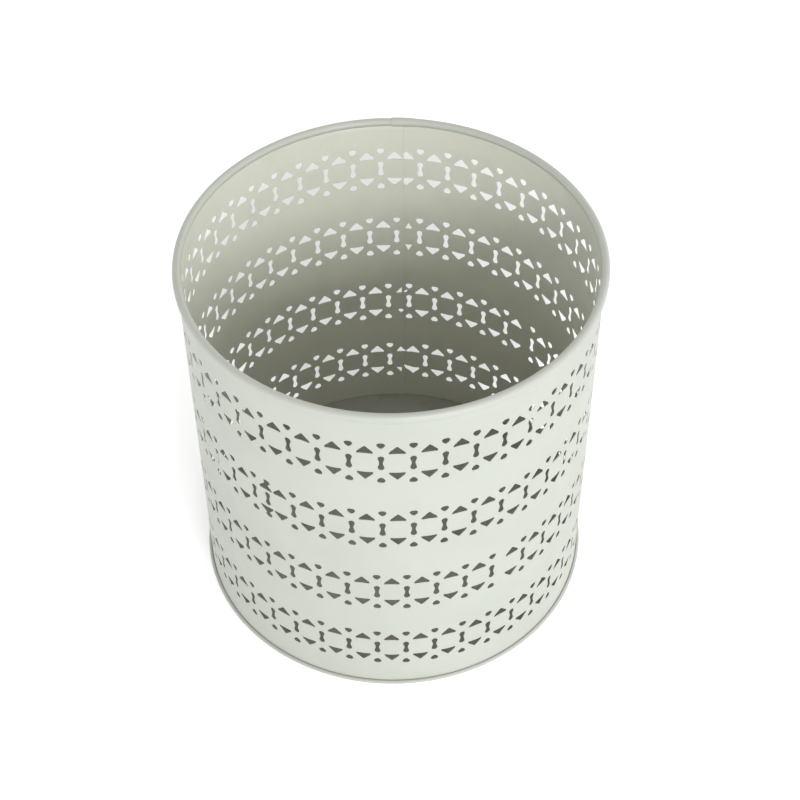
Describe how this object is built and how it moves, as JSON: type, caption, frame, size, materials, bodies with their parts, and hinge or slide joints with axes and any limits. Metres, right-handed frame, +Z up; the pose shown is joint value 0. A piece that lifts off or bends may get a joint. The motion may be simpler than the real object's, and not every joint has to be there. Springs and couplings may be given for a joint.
{
  "type": "umbrella stand",
  "caption": "Squat round umbrella stand of punched and painted sheet steel with a wired rolled rim and a folded-on base pan.",
  "frame": {"origin": "centre of the underside of the base pan, on the floor that the stand rests on", "axes": "+Z up along the stand's axis, -Y the front, +Y the side with the lap seam"},
  "size_m": [0.2545, 0.2544, 0.2563],
  "materials": {
    "wall_paint": "pale sage-grey enamel, semi-gloss, slightly uneven over the sheet",
    "wire_steel": "plain drawn steel wire, hidden inside the rolled rim",
    "base_paint": "pale sage-grey enamel, semi-gloss, with faint scuffs on the floor"
  },
  "bodies": {
    "root": {"perforated_wall": "wall_paint", "rim_wire": "wire_steel", "base_pan": "base_paint"}
  },
  "joints": []
}
